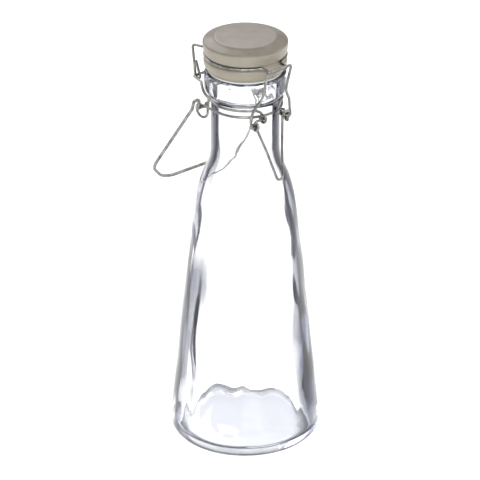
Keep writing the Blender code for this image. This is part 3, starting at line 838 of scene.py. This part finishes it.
def seal_ring(finish):
    """The flat seal round the plug, between the lid's underside and the rim."""
    foot = RIM_HEIGHT + GAP
    top = foot + SEAL_THICKNESS
    bulge = 0.45 * SEAL_THICKNESS
    inner = PLUG_RADIUS + SEAL_PLAY
    profile = [(inner, foot), (inner, top)]
    profile += bezier(
        (SEAL_OUTER - bulge, top),
        (SEAL_OUTER - 0.3 * bulge, top),
        (SEAL_OUTER, top - 0.4 * bulge),
        (SEAL_OUTER, 0.5 * (foot + top)),
        5,
    )
    profile += bezier(
        (SEAL_OUTER, 0.5 * (foot + top)),
        (SEAL_OUTER, foot + 0.4 * bulge),
        (SEAL_OUTER - 0.3 * bulge, foot),
        (SEAL_OUTER - bulge, foot),
        5,
    )
    turned("seal_ring_soft", profile, LID_SEGMENTS, lambda *_: 0.0, finish, "lid", "seal_ring")


def neck_wire(finish):
    """The closed lower wire: level round the front, a loop for the handle, and higher round the back."""
    level_until = math.radians(84)
    back_from = math.radians(126)
    back_height = NECK_WIRE_HEIGHT + LOOP_BACK_RISE
    front = ring_arc(NECK_WIRE_RADIUS, NECK_WIRE_HEIGHT, 0.0, level_until, 30)
    run = smooth(
        [
            front[-1],
            at(0.5 * (NECK_WIRE_RADIUS + LOOP_X), 0.5 * (LOOP[0] - front[-1].y), NECK_WIRE_HEIGHT),
            at(LOOP_X, *LOOP) + Vector((0.0, 0.0, LOOP_RADIUS)),
        ],
    )
    loop = coil(LOOP, LOOP_X, LOOP_X - COIL_PITCH, math.radians(90), math.radians(270), LOOP_RADIUS)
    back = ring_arc(NECK_WIRE_RADIUS, back_height, back_from, math.pi, 20)
    climb = loop[-1].lerp(back[0], 0.45)
    climb.z = NECK_WIRE_HEIGHT - 0.2 * LOOP_BACK_RISE
    half = front + run[1:-1] + loop + smooth([loop[-1], climb, back[0]])[1:-1] + back
    wire("neck_wire_bent", half[:-1] + mirrored(half)[:-1], finish, "bottle", "neck_wire", closed=True)


def hinge_wire(finish):
    """One wire: a latch eye, half the ring, the climb up the collar to the hinge bar, then its mirror."""
    side = LATCH_EYE_X
    low = HINGE_WIRE_HEIGHT
    high = HINGE[1]
    top_of_eye = LATCH[1] + EYE_RADIUS
    eye = coil(LATCH, side + COIL_PITCH, side, math.radians(60), math.radians(390), EYE_RADIUS)
    lead = [
        eye[-1],
        at(side, LATCH[0] - 0.9 * EYE_RADIUS, top_of_eye),
        at(side + 0.2 * WIRE, HINGE_WIRE_RADIUS - GAP, 0.5 * (top_of_eye + low)),
        at(side + 1.2 * WIRE, 0.94 * HINGE_WIRE_RADIUS, low - GAP),
    ]
    level_from = math.radians(28)
    level_until = math.radians(80)
    climb_until = math.radians(128)
    half = eye[:-1] + smooth(lead, 6) + ring_arc(HINGE_WIRE_RADIUS, low, level_from, level_until, 24)
    climb_steps = 24
    for i in range(1, climb_steps + 1):
        part = i / climb_steps
        eased = 3 * part**2 - 2 * part**3
        angle = level_until + (climb_until - level_until) * part
        height = low + (high - low) * eased
        radius = glass_radius(height) + GAP + WIRE / 2 + HINGE_WIRE_STAND_OFF * min(1.0, 3 * part)
        half.append(at(radius * math.sin(angle), radius * math.cos(angle), height))
    corner = [
        (half[-1], 0),
        (at(LEG_X + WIRE + HINGE_BEND_RADIUS, HINGE[0], high), HINGE_BEND_RADIUS),
        (at(LEG_X - WIRE, HINGE[0], high), 0),
    ]
    half += bent(corner)[1:]
    wire("hinge_wire_bent", half + mirrored(half), finish, "bottle", "hinge_wire")


def lid_wire(finish):
    """The wire in the lid's groove: a squared tongue at the front, and two legs hooked on the hinge bar."""
    eye = WIRE + HINGE_PLAY
    leaves = math.asin(TONGUE_HALF_WIDTH / LID_WIRE_RADIUS)
    turns_back = math.pi - math.asin(LEG_LEAVES_AT / LID_WIRE_RADIUS)
    tongue = bent(
        [
            (at(0.0, *TONGUE), 0),
            (at(TONGUE_HALF_WIDTH, *TONGUE), BAR_BEND_RADIUS),
            (at(TONGUE_HALF_WIDTH, LID_WIRE_RADIUS * math.cos(leaves) + PIN_BEND_RADIUS, LID_WIRE_HEIGHT), 0),
        ]
    )
    ring = ring_arc(LID_WIRE_RADIUS, LID_WIRE_HEIGHT, leaves + math.radians(4), turns_back, 56)
    shoulder = at(LEG_X, HINGE[0] - LEG_BACK, LID_WIRE_HEIGHT)
    leg = bent(
        [
            (ring[-1], 0),
            (shoulder, BAR_BEND_RADIUS),
            (at(LEG_X, HINGE[0] - eye, HINGE[1]), 0),
        ]
    )
    hook = coil(HINGE, LEG_X, LEG_X, math.radians(180), math.radians(165), eye)
    tail = at(LEG_X, HINGE[0] - 0.7 * eye, HINGE[1] + LEG_TAIL_RISE)
    half = tongue + ring + leg[1:-1] + hook + [tail]
    wire("lid_wire_bent", mirrored(half)[:-1] + half, finish, "lid", "lid_wire")


def latch_lever(finish):
    """The thumb lever: pins in the hinge wire's eyes, a coil round each link end, and a narrow V."""
    pins = bent(
        [
            (at(LEVER_PIN_END, *LATCH), 0),
            (at(LEVER_COIL_X, *LATCH), PIN_BEND_RADIUS),
            (at(LEVER_COIL_X, LEVER_JOINT[0] + 0.1 * EYE_RADIUS, LEVER_JOINT[1] + EYE_RADIUS), 0),
        ]
    )
    quarter = math.radians(90)
    inner_x = LEVER_COIL_X - 1.25 * COIL_PITCH
    turns = coil(LEVER_JOINT, LEVER_COIL_X, inner_x, quarter, 5 * quarter, EYE_RADIUS)
    tip = (LATCH[0] + LEVER_TIP_REACH, LATCH[1] - LEVER_TIP_DROP)
    start = turns[-1]
    slope = (tip[0] + start.y) / (start.z - tip[1])
    middle_drop = 0.5 * (start.z - tip[1])
    arm = [
        (start, 0),
        (at(0.55 * start.x, -start.y + slope * middle_drop, start.z - middle_drop), LEVER_ARM_BEND),
        (at(0.9 * LEVER_TIP_ROUND, tip[0], tip[1]), 0.9 * LEVER_TIP_ROUND),
        (at(0.0, tip[0], tip[1]), 0),
    ]
    half = pins[:-1] + turns + bent(arm)[1:]
    wire("latch_lever_bent", half[:-1] + mirrored(half), finish, "lever", "latch_lever")


def latch_link(finish):
    """The link: a bar over the lid's tongue, two bowed legs, and ends turned in through the lever."""
    foot = LEVER_JOINT
    rise = LINK_SEAT[1] - foot[1]
    lean = LINK_SEAT[0] - foot[0]
    top = bent(
        [
            (at(0.0, *LINK_SEAT), 0),
            (at(LINK_TOP_HALF_WIDTH, *LINK_SEAT), BAR_BEND_RADIUS),
            (at(LINK_TOP_HALF_WIDTH, foot[0] + 0.55 * lean, foot[1] + 0.68 * rise), 0),
        ]
    )
    bow = LINK_X - LINK_TOP_HALF_WIDTH
    leg = smooth(
        [
            top[-1],
            at(LINK_TOP_HALF_WIDTH + 0.08 * bow, foot[0] + 0.34 * lean, foot[1] + 0.5 * rise),
            at(LINK_TOP_HALF_WIDTH + 0.75 * bow, foot[0] + 0.06 * lean, foot[1] + 0.31 * rise),
            at(LINK_X, foot[0] - 0.1 * lean, foot[1] + 0.15 * rise),
            at(LINK_X, foot[0] - 0.02 * lean, foot[1] + 0.05 * rise),
        ]
    )
    end = bent([(leg[-1], 0), (at(LINK_X, *foot), PIN_BEND_RADIUS), (at(LINK_PIN_END, *foot), 0)])
    half = top[:-1] + leg + end[1:]
    wire("latch_link_bent", mirrored(half)[:-1] + half, finish, "link", "latch_link")


def along_handle(x, down, out=0.0):
    """A point by its distance down the leaning handle from its pin, and out from the pin's line. What
    rises above the pin stands more upright."""
    if down < 0:
        out -= down * math.sin(HANDLE_KINK)
    forward = HANDLE[0] - down * math.sin(HANDLE_LEAN) - out * math.cos(HANDLE_LEAN)
    height = HANDLE[1] - down * math.cos(HANDLE_LEAN) + out * math.sin(HANDLE_LEAN)
    return at(x, forward, height)


def carry_handle(finish):
    """The bail handle: a pin through each neck wire loop, an arch over it, and a wide flared bow."""
    pin = [
        (along_handle(HANDLE_PIN_END, -HANDLE_TAIL), 0),
        (along_handle(HANDLE_PIN_END, 0.0), PIN_BEND_RADIUS),
        (along_handle(HANDLE_INNER_X, 0.0), PIN_BEND_RADIUS),
        (along_handle(HANDLE_INNER_X, -HANDLE_ARCH_RISE), 0),
    ]
    path = bent(pin)
    arch = (HANDLE_X - HANDLE_INNER_X) / 2
    steps = 20
    for i in range(1, steps + 1):
        angle = math.pi * (1 - i / steps)
        x = HANDLE_INNER_X + arch + arch * math.cos(angle)
        path.append(along_handle(x, -HANDLE_ARCH_RISE - arch * math.sin(angle), HANDLE_OFFSET * i / steps))
    wide_at = HANDLE_LENGTH - HANDLE_FOOT_RISE
    bow = [
        (path[-1], 0),
        (along_handle(HANDLE_X, 0.0, HANDLE_OFFSET), HANDLE_WIDE_RADIUS),
        (along_handle(HANDLE_WIDE_X, wide_at, HANDLE_OFFSET), HANDLE_WIDE_RADIUS),
        (along_handle(HANDLE_WIDE_X - HANDLE_FOOT_INSET, HANDLE_LENGTH, HANDLE_OFFSET), HANDLE_BEND_RADIUS),
        (along_handle(0.0, HANDLE_LENGTH, HANDLE_OFFSET), 0),
    ]
    path += bent(bow, 20)[1:]
    whole = path[:-1] + mirrored(path)
    wire("carry_handle_bent", whole, finish, "handle", "carry_handle", thickness=HANDLE_WIRE)


def shades(made, coordinates, noise_scale):
    """The painted dark cards, a colour that shows only in light that ran round inside the glass's wall, for
    painted dark
    streaks in the glass: that light's switch, and the cards' colour."""
    nodes = made.node_tree.nodes
    links = made.node_tree.links
    path = nodes.new("ShaderNodeLightPath")
    crossings = path.outputs["Transmission Depth"]
    two = math_node(made, "COMPARE", crossings, IN_WALL_CROSSINGS, HALF_STEP)
    straight = math_node(made, "LESS_THAN", path.outputs["Diffuse Depth"], HALF_STEP)
    place = nodes.new("ShaderNodeTexCoord")
    faced = nodes.new("ShaderNodeMapping")
    faced.inputs["Rotation"].default_value = (0.0, 0.0, PAINTED_CARD_AZIMUTH)
    split = nodes.new("ShaderNodeSeparateXYZ")
    links.new(place.outputs[coordinates], faced.inputs["Vector"])
    links.new(faced.outputs["Vector"], split.inputs["Vector"])
    clouds = nodes.new("ShaderNodeTexNoise")
    clouds.inputs["Scale"].default_value = noise_scale
    clouds.inputs["Detail"].default_value = PAINTED_CARD_NOISE_DETAIL
    links.new(faced.outputs["Vector"], clouds.inputs["Vector"])
    turn = math_node(made, "ARCTAN2", split.outputs["X"], split.outputs["Y"])
    begun = math_node(made, "SUBTRACT", turn, PAINTED_CARD_START + 0.5 * PAINTED_CARD_UNEVEN)
    uneven = math_node(made, "MULTIPLY_ADD", clouds.outputs[0], PAINTED_CARD_UNEVEN, begun)
    repeated = math_node(made, "FLOORED_MODULO", uneven, PAINTED_CARD_PITCH)
    share = math_node(made, "DIVIDE", repeated, PAINTED_CARD_PITCH)
    return math_node(made, "MULTIPLY", two, straight), ramp(made, share, PAINTED_CARD_SHADES)


def sky():
    """The world's light: white above and level, with a darker band between them for the gloss to show."""
    world = bpy.data.worlds.new("studio")
    bpy.context.scene.world = world
    world.use_nodes = True
    nodes = world.node_tree.nodes
    links = world.node_tree.links
    place = nodes.new("ShaderNodeTexCoord")
    split = nodes.new("ShaderNodeSeparateXYZ")
    links.new(place.outputs["Generated"], split.inputs["Vector"])
    path = nodes.new("ShaderNodeLightPath")
    band = ramp(world, split.outputs["Z"], SKY_STOPS)
    plain = mixed(world, path.outputs["Is Camera Ray"], band, WHITE)
    # The sky shows the painted dark cards to light that ran round inside the glass's wall
    in_wall, shade = shades(world, "Generated", SKY_NOISE_SCALE)
    links.new(mixed(world, in_wall, plain, shade), nodes["Background"].inputs["Color"])
    nodes["Background"].inputs["Strength"].default_value = SKY_STRENGTH


def paper_floor():
    """The white floor. Under the foot it glows with painted light and a painted contact shadow, and it glows
    with the painted dark cards where light from inside the glass's wall meets it.
    """
    bpy.ops.mesh.primitive_plane_add(size=FLOOR_SIZE, location=(0.0, 0.0, -FLOOR_DROP))
    floor = bpy.context.object
    floor.name = "floor"
    paper, shader = material("white_paper", PAPER_ROUGHNESS)
    shader.inputs["Base Color"].default_value = (*PAPER_COLOUR, 1.0)
    # The floor shows the painted dark cards to light that ran round inside the glass's wall
    in_wall, shade = shades(paper, "Object", FLOOR_NOISE_SCALE)
    _, reach = position(paper)
    # Painted light under the foot, dark at its edge for a painted contact shadow
    under_foot = math_node(paper, "LESS_THAN", reach, FOOT_RADIUS)
    foot_painted_glow_and_shadow = ramp(paper, math_node(paper, "DIVIDE", reach, FOOT_RADIUS), FOOT_PAINTED_GLOW_AND_SHADOW)
    glow = paper.node_tree.nodes.new("ShaderNodeEmission")
    paper.node_tree.links.new(mixed(paper, under_foot, shade, foot_painted_glow_and_shadow), glow.inputs["Color"])
    glowing = math_node(paper, "MAXIMUM", in_wall, under_foot)
    surface(paper, glowing, shader.outputs["BSDF"], glow.outputs["Emission"])
    floor.data.materials.append(paper)


def studio():
    """The white floor, the sky and soft lights."""
    paper_floor()
    sky()
    for name, place, size, power in LIGHTS:
        data = bpy.data.lights.new(name, "AREA")
        data.size = size
        data.energy = power
        lamp = bpy.data.objects.new(name, data)
        lamp.location = place
        lamp.rotation_euler = (Vector(CAMERA_TARGET) - Vector(place)).to_track_quat("-Z", "Y").to_euler()
        bpy.context.scene.collection.objects.link(lamp)
    bpy.context.scene.view_settings.view_transform = "Standard"


def camera():
    """The photograph's view, from the left of the latch and above."""
    data = bpy.data.cameras.new("photo_camera")
    data.lens = CAMERA_LENS
    data.sensor_width = CAMERA_SENSOR
    data.clip_end = CAMERA_REACH
    made = bpy.data.objects.new("photo_camera", data)
    bpy.context.scene.collection.objects.link(made)
    azimuth = math.radians(CAMERA_AZIMUTH)
    elevation = math.radians(CAMERA_ELEVATION)
    level = math.cos(elevation)
    away = Vector((math.sin(azimuth) * level, -math.cos(azimuth) * level, math.sin(elevation)))
    made.location = Vector(CAMERA_TARGET) + away * CAMERA_DISTANCE
    made.rotation_euler = (-away).to_track_quat("-Z", "Y").to_euler()
    bpy.context.scene.camera = made


camera()
studio()
steel = steel_wire()
glass_bottle(clear_glass())
stopper_lid(glazed_ceramic())
seal_ring(white_silicone())
for bend in (neck_wire, hinge_wire, lid_wire, latch_lever, latch_link, carry_handle):
    bend(steel)

bpy.context.view_layer.update()
